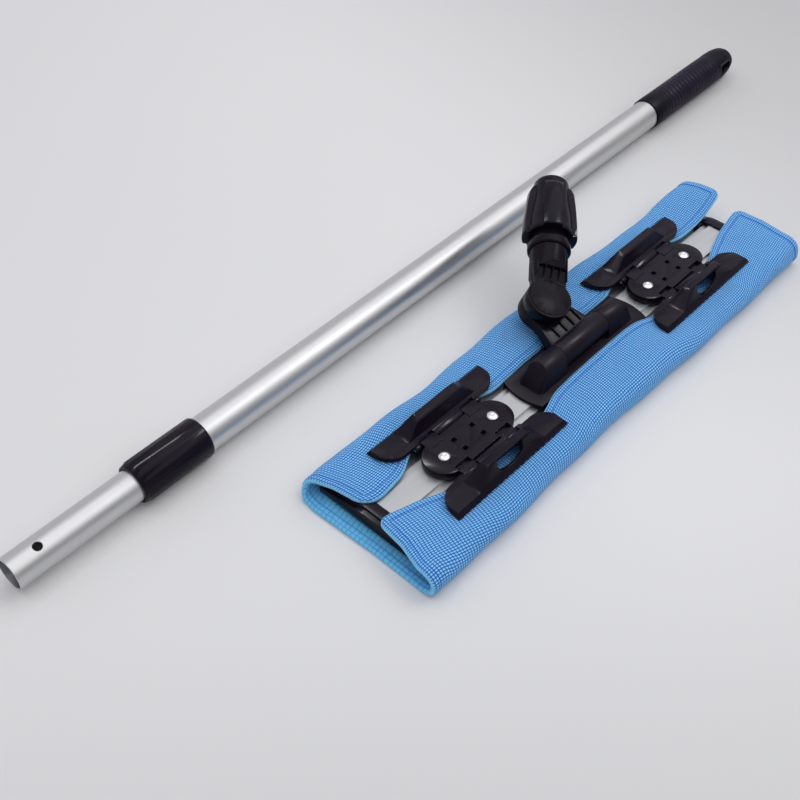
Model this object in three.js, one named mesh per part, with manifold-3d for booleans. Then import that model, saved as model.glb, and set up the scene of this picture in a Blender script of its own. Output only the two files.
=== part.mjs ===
// Flat mop: a microfibre cloth clipped round an aluminium plate, a swivelling socket on top,
// and its telescopic pole lying on the floor beside it. Millimetres, +Z up.
// Origin: middle of the cloth's underside on the floor. +X runs along the plate, +Y to the pole.
import * as THREE from 'three';
import { mergeVertices } from 'three/addons/utils/BufferGeometryUtils.js';
import Module from 'manifold-3d';

const wasm = await Module();
wasm.setup();

// Plate, pad, caps and cloth
const PLATE_HALF_LENGTH = 212;
const PLATE_HALF_WIDTH = 47;
const PLATE_BOTTOM = 8.3;
const PLATE_TOP = 10.5;
const FLANGE_HALF_WIDTH = 15.7;
const FLANGE_TOP = 14.5;
const RAIL_HALF_WIDTH = 10;
const RAIL_TOP = 17;
const CHANNEL_HALF_WIDTH = 7.8;
const CHANNEL_TOP = 14.8;
const CAP_END = 225;
const CAP_HALF_WIDTH = 55;
const CLOTH_HALF_LENGTH = 238;
const CLOTH_HALF_WIDTH = 61;
const CLOTH_THICKNESS = 4;
const CLOTH_TOP = 19.5;
const FLAP_INNER_EDGE = 25;

// Cloth clips
const CLIP_CENTRE = 126.5;
const CLIP_BOTTOM = 17.3;
const CLIP_TOP = 24;
const RIVET_SPACING = 26.6;
const LOBE_RADIUS = 16;
const RIVET_HEAD_RADIUS = 4.65;
const HINGE_Y = 20.5;
const HINGE_Z = 20.5;
const HINGE_RADIUS = 3.4;
const PIN_RADIUS = 1.5;
const LEAF_INNER = 15;
const LEAF_OUTER = 29;
const EAR_INNER = 29.7;
const EAR_OUTER = 35;
const JAW_HALF_LENGTH = 60.5;
const JAW_Y = 43;
const RIM_Y = 40.2;
const TAB_TOP = 25.2;
const JAW_BOTTOM = 20;
const TEETH_PER_JAW = 20;

// Swivel base, yoke and knuckle
const SWIVEL_X = 4;
const SWIVEL_HALF_LENGTH = 67.5;
const SWIVEL_ARC_RISE = 4;
const SWIVEL_HALF_WIDTH = 18.3;
const SWIVEL_FLOOR = 19.5;
const BARREL_Z = 29.5;
const BARREL_RADIUS = 9.5;
const BARREL_HALF_LENGTH = 26.5;
const SHAFT_RADIUS = 3;
const YOKE_ELEVATION = THREE.MathUtils.degToRad(20.5);
const NECK_SWING = THREE.MathUtils.degToRad(51);
const KNUCKLE_REACH = 37.3;
const DISC_RADIUS = 17.9;
const DISC_HEIGHT = 11.1;
const NECK_OFFSET = 5.6;

// Pole
const POLE_Y = 147.25;
const POLE_Z = 16.07;
const POLE_YAW = THREE.MathUtils.degToRad(0.74);
const POLE_PITCH = THREE.MathUtils.degToRad(0.087);
const INNER_TUBE_END = -416.5;
const BUTTON_HOLE_X = -394.2;
const OUTER_TUBE_START = -300;
const OUTER_TUBE_END = 436;
const OUTER_TUBE_RADIUS = 14.2;
const OUTER_TUBE_BORE = 13;
const INNER_TUBE_RADIUS = 12.5;
const INNER_TUBE_BORE = 11.3;
const SOCKET_BORE = 12.8;
const THREAD_END = 80;
const COLLET_END = 96.4;
const COLLAR_RADIUS = 16.5;
const COLLAR_START = -315.5;
const COLLAR_END = -254.2;
const GRIP_START = 321.5;
const GRIP_END = 474.5;
const GRIP_RADIUS = 15.4;

const group = new THREE.Group();
group.name = 'flat_mop';

const finish = {
  aluminium: [0.72, 0.73, 0.75, 0.35, 0.9],
  steel: [0.8, 0.8, 0.82, 0.3, 1],
  black: [0.03, 0.03, 0.04, 0.5, 0],
  cloth: [0.2, 0.5, 0.88, 0.95, 0],
  foam: [0.12, 0.12, 0.13, 0.9, 0],
};

// ---- Small shape tools -------------------------------------------------------------------

// Signed volume of a triangle list: negative when its faces point inwards.
function signedVolume(position, index) {
  const [a, b, c] = [new THREE.Vector3(), new THREE.Vector3(), new THREE.Vector3()];
  let total = 0;
  for (let i = 0; i < index.length; i += 3) {
    a.fromBufferAttribute(position, index[i]);
    b.fromBufferAttribute(position, index[i + 1]);
    c.fromBufferAttribute(position, index[i + 2]);
    total += a.dot(b.cross(c));
  }
  return total;
}

// Triangles whose corners were welded together are dropped.
function withoutSlivers(index) {
  const kept = [];
  for (let i = 0; i < index.length; i += 3) {
    const [a, b, c] = [index[i], index[i + 1], index[i + 2]];
    if (a !== b && b !== c && c !== a) kept.push(a, b, c);
  }
  return kept;
}

// Closed solid from a surface, welded and with its faces pointing outwards.
function solid(geometry) {
  const flat = geometry.index ? geometry.toNonIndexed() : geometry;
  const bare = new THREE.BufferGeometry();
  bare.setAttribute('position', flat.attributes.position);
  const merged = mergeVertices(bare, 1e-4);
  const index = Uint32Array.from(withoutSlivers(merged.index.array));
  if (signedVolume(merged.attributes.position, index) < 0) index.reverse();
  const vertProperties = Float32Array.from(merged.attributes.position.array);
  return new wasm.Manifold(new wasm.Mesh({ numProp: 3, vertProperties, triVerts: index }));
}

function add(name, colour, manifold) {
  const data = manifold.getMesh();
  const geometry = new THREE.BufferGeometry();
  geometry.setAttribute('position', new THREE.BufferAttribute(Float32Array.from(data.vertProperties), 3));
  geometry.setIndex(Array.from(data.triVerts));
  geometry.computeVertexNormals();
  const [r, g, b, roughness, metalness] = finish[colour];
  const material = new THREE.MeshStandardMaterial({ color: new THREE.Color(r, g, b), roughness, metalness });
  material.name = name;
  const mesh = new THREE.Mesh(geometry, material);
  mesh.name = name;
  group.add(mesh);
}

function box(x0, x1, y0, y1, z0, z1) {
  const geometry = new THREE.BoxGeometry(x1 - x0, y1 - y0, z1 - z0);
  geometry.translate((x0 + x1) / 2, (y0 + y1) / 2, (z0 + z1) / 2);
  return solid(geometry);
}

// Straight prism: an outline in the YZ plane, carried along X.
function prismX(points, x0, x1) {
  const shape = new THREE.Shape(points.map(([y, z]) => new THREE.Vector2(y, z)));
  const geometry = new THREE.ExtrudeGeometry(shape, { depth: x1 - x0, bevelEnabled: false });
  const turn = new THREE.Matrix4().makeBasis(
    new THREE.Vector3(0, 1, 0), new THREE.Vector3(0, 0, 1), new THREE.Vector3(1, 0, 0));
  geometry.applyMatrix4(turn);
  geometry.translate(x0, 0, 0);
  return solid(geometry);
}

// Straight prism: an outline in the XZ plane, carried along Y.
function prismY(points, y0, y1) {
  const shape = new THREE.Shape(points.map(([x, z]) => new THREE.Vector2(x, z)));
  const geometry = new THREE.ExtrudeGeometry(shape, { depth: y1 - y0, bevelEnabled: false });
  const turn = new THREE.Matrix4().makeBasis(
    new THREE.Vector3(1, 0, 0), new THREE.Vector3(0, 0, 1), new THREE.Vector3(0, -1, 0));
  geometry.applyMatrix4(turn);
  geometry.translate(0, y1, 0);
  return solid(geometry);
}

// Straight prism: an outline in the XY plane, carried along Z.
function prismZ(points, z0, z1) {
  const shape = new THREE.Shape(points.map(([x, y]) => new THREE.Vector2(x, y)));
  const geometry = new THREE.ExtrudeGeometry(shape, { depth: z1 - z0, bevelEnabled: false });
  geometry.translate(0, 0, z0);
  return solid(geometry);
}

function cylinderZ(x, y, z0, z1, radius, sides = 24) {
  const geometry = new THREE.CylinderGeometry(radius, radius, z1 - z0, sides);
  geometry.rotateX(Math.PI / 2);
  geometry.translate(x, y, (z0 + z1) / 2);
  return solid(geometry);
}

function cylinderX(x0, x1, y, z, radius, sides = 24) {
  const geometry = new THREE.CylinderGeometry(radius, radius, x1 - x0, sides);
  geometry.rotateZ(Math.PI / 2);
  geometry.translate((x0 + x1) / 2, y, z);
  return solid(geometry);
}

// Solid or ring turned about the Y axis. The profile is a closed list of [radius, y].
function turnedY(profile, sides = 30) {
  const points = profile.map(([r, y]) => new THREE.Vector2(r, y));
  points.push(points[0].clone());
  return solid(new THREE.LatheGeometry(points, sides));
}

// The same about the X axis, with the profile as [x, radius].
function turnedX(profile, sides = 30) {
  const points = profile.map(([x, r]) => new THREE.Vector2(r, x));
  points.push(points[0].clone());
  const geometry = new THREE.LatheGeometry(points, sides);
  geometry.applyMatrix4(new THREE.Matrix4().makeBasis(
    new THREE.Vector3(0, 1, 0), new THREE.Vector3(1, 0, 0), new THREE.Vector3(0, 0, -1)));
  return solid(geometry);
}

function placed(manifold, matrix) {
  return manifold.transform(matrix.toArray());
}

function mirrorY(manifold) {
  return manifold.mirror([0, 1, 0]);
}

// Rounded rectangle outline, corner order anticlockwise from low x, low y.
function roundedOutline(x0, x1, y0, y1, radii) {
  const shape = new THREE.Shape();
  const [a, b, c, d] = radii;
  shape.moveTo(x0 + a, y0);
  shape.lineTo(x1 - b, y0);
  shape.absarc(x1 - b, y0 + b, b, -Math.PI / 2, 0, false);
  shape.lineTo(x1, y1 - c);
  shape.absarc(x1 - c, y1 - c, c, 0, Math.PI / 2, false);
  shape.lineTo(x0 + d, y1);
  shape.absarc(x0 + d, y1 - d, d, Math.PI / 2, Math.PI, false);
  shape.lineTo(x0, y0 + a);
  shape.absarc(x0 + a, y0 + a, a, Math.PI, Math.PI * 1.5, false);
  return shape.getPoints(2).map((p) => [p.x, p.y]);
}

// ---- Plate, end caps, pad and cloth ------------------------------------------------------

function rivetPlaces() {
  return [-CLIP_CENTRE, CLIP_CENTRE].flatMap((x) => [x - RIVET_SPACING, x + RIVET_SPACING]);
}

function screwPlaces() {
  return [-50, -36, 36, 50].map((x) => SWIVEL_X + x);
}

function basePlate() {
  const half = [
    [PLATE_HALF_WIDTH, PLATE_BOTTOM], [PLATE_HALF_WIDTH, PLATE_TOP], [FLANGE_HALF_WIDTH, PLATE_TOP],
    [FLANGE_HALF_WIDTH, FLANGE_TOP], [RAIL_HALF_WIDTH, FLANGE_TOP], [RAIL_HALF_WIDTH, RAIL_TOP],
  ];
  const outline = [
    [CHANNEL_HALF_WIDTH, PLATE_BOTTOM], ...half,
    ...half.map(([y, z]) => [-y, z]).reverse(),
    [-CHANNEL_HALF_WIDTH, PLATE_BOTTOM], [-CHANNEL_HALF_WIDTH, CHANNEL_TOP],
    [CHANNEL_HALF_WIDTH, CHANNEL_TOP],
  ];
  let plate = prismX(outline, -PLATE_HALF_LENGTH, PLATE_HALF_LENGTH);
  for (const x of rivetPlaces()) plate = plate.subtract(cylinderZ(x, 0, 12, 18, 2.7, 16));
  for (const x of screwPlaces()) plate = plate.subtract(cylinderZ(x, 0, 12, 18, 2.1, 14));
  add('base_plate', 'aluminium', plate);
}

function endCap(name, side) {
  const top = [
    [CAP_HALF_WIDTH, 6.2], [CAP_HALF_WIDTH, 12], [50, 13], [22, 14.6], [17, 18], [11.5, 18.6],
  ];
  const outline = [...top, ...top.map(([y, z]) => [-y, z]).reverse()];
  const inner = PLATE_HALF_LENGTH + 0.3;
  const block = prismX(outline, inner, CAP_END - 4);
  const nose = prismX(outline.map(([y, z]) => [y * 0.95, 6.2 + (z - 6.2) * 0.82]), CAP_END - 4.01, CAP_END);
  const plug = box(inner - 11, inner + 0.5, -7.5, 7.5, 8.7, 14.4);
  const lugs = [-1, 1].map((s) => box(inner - 7, inner + 0.5, s * 18.5 - 2.2, s * 18.5 + 2.2, 11, 16.6));
  let cap = block.add(nose).add(plug).add(lugs[0]).add(lugs[1]);
  if (side < 0) cap = cap.mirror([1, 0, 0]);
  add(name, 'black', cap);
}

function foamPad() {
  add('foam_pad', 'foam', box(-211.7, 211.7, -46.6, 46.6, CLOTH_THICKNESS + 0.3, PLATE_BOTTOM - 0.3));
}

function mopCloth() {
  const t = CLOTH_THICKNESS;
  const half = [
    [58, 0], [60.4, 1.6], [CLOTH_HALF_WIDTH, 4], [CLOTH_HALF_WIDTH, 13], [59, 16.6], [54, 18.8],
    [46, CLOTH_TOP], [FLAP_INNER_EDGE, CLOTH_TOP], [FLAP_INNER_EDGE, CLOTH_TOP - t],
    [46, CLOTH_TOP - t], [52, 15], [55.8, 13.4], [57, 11], [57, 5.4], [56, t],
  ];
  const outline = [...half, ...half.map(([y, z]) => [-y, z]).reverse()];
  add('mop_cloth', 'cloth', prismX(outline, -CLOTH_HALF_LENGTH, CLOTH_HALF_LENGTH));
}

// ---- Cloth clips -------------------------------------------------------------------------

function clipBase(name, x) {
  let plate = box(x - 29.3, x + 29.3, -16.8, 16.8, CLIP_BOTTOM, CLIP_TOP);
  for (const s of [-1, 1]) {
    const lobe = cylinderZ(x + s * RIVET_SPACING, 0, CLIP_BOTTOM, CLIP_TOP, LOBE_RADIUS, 32);
    plate = plate.add(lobe);
  }
  for (const side of [-1, 1]) {
    for (const [a, b] of [[-LEAF_OUTER, -LEAF_INNER], [LEAF_INNER, LEAF_OUTER]]) {
      const y0 = Math.min(side * 16, side * HINGE_Y);
      const y1 = Math.max(side * 16, side * HINGE_Y);
      const web = box(x + a, x + b, y0, y1, HINGE_Z - HINGE_RADIUS, HINGE_Z + HINGE_RADIUS - 0.05);
      const eye = cylinderX(x + a, x + b, side * HINGE_Y, HINGE_Z, HINGE_RADIUS, 16);
      plate = plate.add(web).add(eye);
    }
  }
  for (const [a, b] of [[-LEAF_OUTER, -LEAF_INNER], [LEAF_INNER, LEAF_OUTER]]) {
    plate = plate.add(prismX([
      [11, CLIP_TOP - 0.2], [16, CLIP_TOP - 2], [20.6, CLIP_TOP - 2], [20.6, CLIP_TOP + 0.3],
      [20.2, CLIP_TOP + 0.7], [11.4, CLIP_TOP + 0.7], [11, CLIP_TOP + 0.3],
    ], x + a, x + b));
    plate = plate.subtract(box(x + a, x + b, -16.2, -11.5, CLIP_TOP - 3.4, CLIP_TOP + 1));
  }
  for (const sx of [-10, 10]) {
    for (const sy of [-5.4, 5.4]) {
      plate = plate.subtract(box(x + sx - 2, x + sx + 2, sy - 1.7, sy + 1.7, CLIP_TOP - 4, CLIP_TOP + 1));
    }
  }
  for (const s of [-1, 1]) {
    const y0 = Math.min(s * 16, s * 18);
    plate = plate.subtract(box(x - 14.8, x + 14.8, y0, y0 + 2, CLIP_BOTTOM - 1, CLIP_TOP + 1));
    plate = plate.subtract(cylinderZ(x + s * RIVET_SPACING, 0, CLIP_BOTTOM - 1, CLIP_TOP + 1, 2.7, 16));
    plate = plate.subtract(cylinderX(x - 30, x + 30, s * HINGE_Y, HINGE_Z, PIN_RADIUS + 0.06, 14));
  }
  add(name, 'black', plate);
}

function rivet(name, x) {
  const profile = [
    [0, 12.2], [3.6, 12.2], [3.9, 13.2], [3.4, 14.5], [2.4, 14.5], [2.4, CLIP_TOP + 0.05],
    [RIVET_HEAD_RADIUS, CLIP_TOP + 0.05], [4.4, CLIP_TOP + 0.8], [3.2, CLIP_TOP + 1.55],
    [1.5, CLIP_TOP + 1.95], [1, CLIP_TOP + 1.6], [0, CLIP_TOP + 1.6],
  ];
  add(name, 'steel', turnedY(profile, 14).rotate([90, 0, 0]).translate([x, 0, 0]));
}

function hingePin(name, x, side) {
  add(name, 'steel', cylinderX(x - 34.8, x + 34.8, side * HINGE_Y, HINGE_Z, PIN_RADIUS, 14));
}

// Coil round the hinge pin that presses the lever shut.
function torsionSpring(name, x, side) {
  const turns = 5;
  const path = [];
  for (let i = 0; i <= turns * 8; i += 1) {
    const angle = (i / 8) * Math.PI * 2;
    path.push(new THREE.Vector3(
      x - 9 + (18 * i) / (turns * 8),
      side * HINGE_Y + 2.1 * Math.cos(angle),
      HINGE_Z + 2.1 * Math.sin(angle)));
  }
  const wire = new THREE.Shape([0, 1, 2, 3, 4].map((i) => new THREE.Vector2(
    0.35 * Math.cos(i * 1.2566), 0.35 * Math.sin(i * 1.2566))));
  const geometry = new THREE.ExtrudeGeometry(wire, {
    steps: turns * 8, bevelEnabled: false, extrudePath: new THREE.CatmullRomCurve3(path),
  });
  add(name, 'steel', solid(geometry));
}

// Hooded clamp lever. Drawn for the +Y side and mirrored for the other.
function leverSolid(x) {
  const j = JAW_BOTTOM + 1.3;
  const across = prismX([
    [HINGE_Y, j], [JAW_Y, j], [JAW_Y, j + 0.8], [RIM_Y, TAB_TOP], [35.6, 37], [34.8, 38],
    [29.6, 37], [28.2, 35.8], [25.3, 24.95], [HINGE_Y, 24.95],
  ], x - 61, x + 61);
  const slope = [[35.9, TAB_TOP], [33.6, 26.9], [24.2, 35.7], [21.6, 37.6], [18.6, 38.3]];
  const front = prismY([
    [x - JAW_HALF_LENGTH, j - 1], [x + JAW_HALF_LENGTH, j - 1], [x + JAW_HALF_LENGTH, j + 0.6],
    [x + 58.7, TAB_TOP], ...slope.map(([dx, z]) => [x + dx, z]),
    ...slope.map(([dx, z]) => [x - dx, z]).reverse(),
    [x - 58.7, TAB_TOP], [x - JAW_HALF_LENGTH, j + 0.6],
  ], 15, 45);
  let lever = across.intersect(front).intersect(prismZ(tabOutline(x), 18, 42));
  const hollowAcross = prismX([
    [26.8, 18], [39.4, 18], [38.2, 25], [33.6, 36], [32.8, 35.9], [30.4, 35.1], [26.8, 24.05],
  ], x - 34, x + 34);
  const hollowFront = prismY([
    [x - 33, 18], [x + 33, 18], [x + 33, 23.2], [x + 31.2, 25], [x + 22, 34.2], [x + 19.5, 36],
    [x - 19.5, 36], [x - 22, 34.2], [x - 31.2, 25], [x - 33, 23.2],
  ], 20, 44);
  lever = lever.subtract(hollowAcross.intersect(hollowFront));
  lever = lever.subtract(prismZ(roundedOutline(x - 58.2, x + 58.2, 26, 39.4, [7, 7, 2, 2]), 18, 23.3));
  lever = lever.subtract(box(x - EAR_INNER, x + EAR_INNER, 15, 24.6, 18, 24.05));
  for (const s of [-1, 1]) {
    const a = Math.min(x + s * (LEAF_INNER - 0.6), x + s * EAR_INNER);
    const b = Math.max(x + s * (LEAF_INNER - 0.6), x + s * EAR_INNER);
    lever = lever.subtract(box(a, b, 19, 22.9, 23, 26));
  }
  lever = lever.subtract(windowCut(x)).add(springBarrel(x));
  for (const s of [-1, 1]) {
    const inner = x + s * EAR_INNER;
    const outer = x + s * EAR_OUTER;
    const a = Math.min(inner, outer);
    const b = Math.max(inner, outer);
    lever = lever.add(cylinderX(a, b, HINGE_Y, HINGE_Z, HINGE_RADIUS, 16));
    lever = lever.add(box(a, b, HINGE_Y, 25.5, HINGE_Z + 0.8, 24.95));
  }
  lever = lever.subtract(cylinderX(x - 35.5, x + 35.5, HINGE_Y, HINGE_Z, PIN_RADIUS + 0.06, 14));
  lever = lever.subtract(cylinderX(x - 14.5, x + 14.5, HINGE_Y, HINGE_Z, 2.6, 16));
  return lever.add(jawTeeth(x, j));
}

// Seen from above the lever is a long bar whose two inner corners are quarter ellipses.
function tabOutline(x) {
  const points = [];
  for (let i = 0; i <= 7; i += 1) {
    const angle = (Math.PI / 14) * i;
    points.push([x + 43.5 + 17 * Math.sin(angle), 39.5 - 19.2 * Math.cos(angle)]);
  }
  points.push([x + JAW_HALF_LENGTH, JAW_Y]);
  return [...points, ...points.map(([px, py]) => [2 * x - px, py]).reverse()];
}

// Barrel between the clip's two leaves, with room inside for the spring.
function springBarrel(x) {
  const half = LEAF_INNER - 0.6;
  const tube = cylinderX(x - half, x + half, HINGE_Y, HINGE_Z, HINGE_RADIUS + 0.9, 20);
  return tube.add(box(x - half, x + half, HINGE_Y, 25.3, 22.6, 24.95));
}

// The hood's outer wall has a rounded window, with a shallow recess above it up to the top.
function windowCut(x) {
  const side = [[13.9, 33.6], [13.9, 32.6], [12.7, 29.2], [10, 27], [5.4, 25.9]];
  const window = prismY([
    [x, 25.6], ...[...side].reverse().map(([dx, z]) => [x + dx, z]), ...side.map(([dx, z]) => [x - dx, z]),
  ], 34.4, 46);
  return window.add(box(x - 13.9, x + 13.9, 35, 46, 33.5, 42));
}

function jawTeeth(x, top) {
  const pitch = (JAW_HALF_LENGTH * 2 - 3) / TEETH_PER_JAW;
  const start = x - JAW_HALF_LENGTH + 1.5;
  const outline = [[start, top + 0.6]];
  for (let i = 0; i < TEETH_PER_JAW; i += 1) {
    outline.push([start + pitch * i, top - 0.02]);
    outline.push([start + pitch * (i + 0.5), JAW_BOTTOM]);
  }
  outline.push([start + pitch * TEETH_PER_JAW, top - 0.02]);
  outline.push([start + pitch * TEETH_PER_JAW, top + 0.6]);
  return prismY(outline.reverse(), JAW_Y - 2.2, JAW_Y - 0.05);
}

function levers() {
  for (const [end, x] of [['near', -CLIP_CENTRE], ['far', CLIP_CENTRE]]) {
    add(`lever_${end}_left`, 'black', leverSolid(x));
    add(`lever_${end}_right`, 'black', mirrorY(leverSolid(x)));
  }
}

// ---- Swivel base -------------------------------------------------------------------------

function swivelOutline() {
  const points = [];
  for (const s of [1, -1]) {
    for (let i = 0; i <= 10; i += 1) {
      const t = -1 + i / 5;
      const bulge = SWIVEL_ARC_RISE * (1 - t * t);
      points.push([SWIVEL_X + s * (SWIVEL_HALF_LENGTH + bulge), s * t * SWIVEL_HALF_WIDTH]);
    }
  }
  return points;
}

function pillow(side) {
  const roof = [];
  for (let i = 0; i <= 16; i += 1) {
    const angle = (Math.PI * i) / 16;
    roof.push([BARREL_RADIUS * Math.cos(angle), BARREL_Z + BARREL_RADIUS * Math.sin(angle)]);
  }
  const across = prismX([[-11.5, 18], [11.5, 18], ...roof], SWIVEL_X - 62, SWIVEL_X + 62);
  const x = (v) => SWIVEL_X + side * v;
  const outline = [[x(26.9), 18], [x(61), 18], [x(60), 20.6], [x(49), 39.4], [x(26.9), 39.4]];
  if (side < 0) outline.reverse();
  let block = across.intersect(prismY(outline, -13, 13));
  for (const s of [-1, 1]) {
    const wedge = box(-4, 4, -4, 4, -30, 30).rotate([0, 0, 45]).rotate([0, side * -30.3, 0]);
    block = block.subtract(wedge.translate([x(61.2), s * 12.7, 20.6]));
  }
  return block;
}

function swivelBase() {
  const outline = swivelOutline();
  let base = prismZ(outline, RAIL_TOP + 0.2, SWIVEL_FLOOR);
  const skirt = prismZ(outline, PLATE_TOP + 0.6, RAIL_TOP + 0.3);
  const railRoom = box(-90, 100, -FLANGE_HALF_WIDTH - 0.4, FLANGE_HALF_WIDTH + 0.4, 9, RAIL_TOP + 0.2);
  base = base.add(skirt.subtract(railRoom));
  base = base.add(pillow(-1)).add(pillow(1));
  base = base.subtract(cylinderX(SWIVEL_X - 42, SWIVEL_X + 42, 0, BARREL_Z, SHAFT_RADIUS + 0.08));
  for (const x of screwPlaces()) base = base.subtract(cylinderZ(x, 0, 16, 25.2, 1.9, 14));
  add('swivel_base', 'black', base);
}

function swivelShaft() {
  add('swivel_shaft', 'steel', cylinderX(SWIVEL_X - 41.5, SWIVEL_X + 41.5, 0, BARREL_Z, SHAFT_RADIUS));
}

function baseScrew(name, x) {
  const shank = cylinderZ(x, 0, 13.5, 25, 1.8, 14);
  const head = cylinderZ(x, 0, 11.6, CHANNEL_TOP - 0.3, 3.6, 16);
  add(name, 'steel', shank.add(head).subtract(box(x - 0.5, x + 0.5, -5, 5, 11, 12.8)));
}

// ---- Yoke, knuckle, neck and lock nut ----------------------------------------------------

// In the yoke's own frame Y runs up the arm and Z is square to its flat face.
function yokeMatrix() {
  const tilt = new THREE.Matrix4().makeRotationX(YOKE_ELEVATION);
  return new THREE.Matrix4().makeTranslation(SWIVEL_X, 0, BARREL_Z).multiply(tilt);
}

// The neck's own frame starts at the knuckle centre, with Y along the neck.
function neckMatrix() {
  const reach = new THREE.Matrix4().makeTranslation(0, KNUCKLE_REACH, 0);
  const swing = new THREE.Matrix4().makeRotationZ(-NECK_SWING);
  return yokeMatrix().multiply(reach).multiply(swing);
}

function yoke() {
  const arm = prismZ([
    [-24, 0], [24, 0], [22.5, 10], [18.6, 24], [DISC_RADIUS - 0.1, KNUCKLE_REACH],
    [-DISC_RADIUS + 0.1, KNUCKLE_REACH], [-18.6, 24], [-22.5, 10],
  ], -BARREL_RADIUS, -0.3);
  const disc = cylinderZ(0, KNUCKLE_REACH, -DISC_HEIGHT, -0.3, DISC_RADIUS, 40);
  let body = cylinderX(-BARREL_HALF_LENGTH, BARREL_HALF_LENGTH, 0, 0, BARREL_RADIUS, 32).add(arm).add(disc);
  for (const [a, b, far] of [[-17.2, -10, 25], [-8.8, -0.6, 20.4], [0.6, 8.8, 20.4], [10, 17.2, 25]]) {
    body = body.subtract(box(a, b, 10.6, far, -2.2, 0.5));
  }
  body = body.subtract(cylinderX(-30, 30, 0, 0, SHAFT_RADIUS + 0.08));
  body = body.subtract(cylinderZ(0, KNUCKLE_REACH, -12, 1, 3.2, 20));
  body = body.subtract(cylinderZ(0, KNUCKLE_REACH, -12, -7, 6.4, 20));
  add('yoke', 'black', placed(body, yokeMatrix()));
}

function knuckleBolt() {
  const shank = cylinderZ(0, KNUCKLE_REACH, -8, 8, 3, 20);
  const head = cylinderZ(0, KNUCKLE_REACH, -10.4, -7.2, 6, 20);
  const slot = box(-4, 4, KNUCKLE_REACH - 0.8, KNUCKLE_REACH + 0.8, -11, -9.2);
  add('knuckle_bolt', 'steel', placed(shank.add(head).subtract(slot), yokeMatrix()));
}

function neck() {
  const disc = cylinderZ(0, 0, 0.3, DISC_HEIGHT, DISC_RADIUS, 40);
  const boss = cylinderZ(0, 0, DISC_HEIGHT - 0.1, DISC_HEIGHT + 0.6, DISC_RADIUS - 1.9, 40);
  const stem = turnedY([
    [0, 6], [15.2, 6], [15.2, 46.6], [16.6, 46.6], [17.4, 48], [17.4, 53.5], [16.6, 55.2],
    [15.4, 55.2], [15.4, THREAD_END], [0, THREAD_END],
  ]).translate([0, 0, NECK_OFFSET]);
  const profile = [
    [6, 0.3], [19.2, 0.3], [25, -6], [32, -9], [34, -12], [90, -12], [90, 26], [29.5, 26], [29.5, 20.4],
    [17.5, DISC_HEIGHT + 0.1], [16, DISC_HEIGHT], [6, DISC_HEIGHT],
  ];
  const waist = prismZ([
    [-13, 0], [13, 0], [13, 16], [14.2, 22], [15.3, 30], [18, 44], [18, 90],
    [-18, 90], [-18, 44], [-15.3, 30], [-14.2, 22], [-13, 16],
  ], -20, 40);
  let body = stem.intersect(prismX(profile, -20, 20)).intersect(waist).add(disc).add(boss);
  for (const x of [-9.1, -3.1, 3.1, 9.1]) {
    const pocket = prismX([[16.3, 10], [25.8, 13.8], [25.8, 24], [16.3, 24]], x - 2.5, x + 2.5);
    body = body.subtract(pocket);
  }
  const bore = turnedY([[0, 38], [SOCKET_BORE, 38], [SOCKET_BORE, 90], [0, 90]]);
  body = body.subtract(bore.translate([0, 0, NECK_OFFSET]));
  body = body.subtract(cylinderZ(0, 0, -1, 8.4, 3.2, 20));
  add('neck', 'black', placed(body, neckMatrix()));
}

function collet() {
  const foot = THREAD_END + 0.4;
  const ring = turnedY([
    [SOCKET_BORE, foot], [14.9, foot], [14.9, 85], [13.9, COLLET_END], [SOCKET_BORE, COLLET_END],
  ]).subtract(box(-1.2, 1.2, foot + 2.6, COLLET_END + 1, 0, 20));
  add('collet', 'black', placed(ring.translate([0, 0, NECK_OFFSET]), neckMatrix()));
}

function lockNut() {
  const body = turnedY([
    [15.8, 60.4], [19, 60.4], [19.5, 61.4], [19.5, 64.4], [18.7, 65.4], [18.2, 76], [17.3, 84],
    [16.3, 91], [15.5, 98], [14.9, 105], [14.7, 113], [14.4, 116], [13.8, 117], [SOCKET_BORE, 117],
    [SOCKET_BORE, COLLET_END + 0.6], [14.3, COLLET_END + 0.6], [15.3, 85.2], [15.3, THREAD_END + 1],
    [15.8, THREAD_END + 0.6],
  ], 36);
  const reach = turnedY([
    [14, 60.4], [21.4, 60.4], [22.2, 61.6], [21.8, 76], [20.6, 92], [19.2, 104], [17.2, 108.5], [14, 111],
  ], 36);
  const cross = box(-7.5, 7.5, 55, 120, -30, 30).add(box(-30, 30, 55, 120, -7.5, 7.5));
  const clear = turnedY([
    [0, 58], [15.8, 58], [15.8, THREAD_END + 0.6], [15.3, THREAD_END + 1], [15.3, 85.2],
    [14.3, COLLET_END + 0.6], [14.3, 120], [0, 120],
  ]);
  const phase = new THREE.Matrix4().makeRotationY(THREE.MathUtils.degToRad(-13));
  const pads = placed(reach.intersect(cross).subtract(clear), phase);
  add('lock_nut', 'black', placed(body.add(pads).translate([0, 0, NECK_OFFSET]), neckMatrix()));
}

// ---- Pole --------------------------------------------------------------------------------

function poleMatrix() {
  const yaw = new THREE.Matrix4().makeRotationZ(POLE_YAW);
  const pitch = new THREE.Matrix4().makeRotationY(POLE_PITCH);
  return new THREE.Matrix4().makeTranslation(0, POLE_Y, POLE_Z).multiply(yaw).multiply(pitch);
}

function addToPole(name, colour, manifold) {
  add(name, colour, placed(manifold, poleMatrix()));
}

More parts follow.
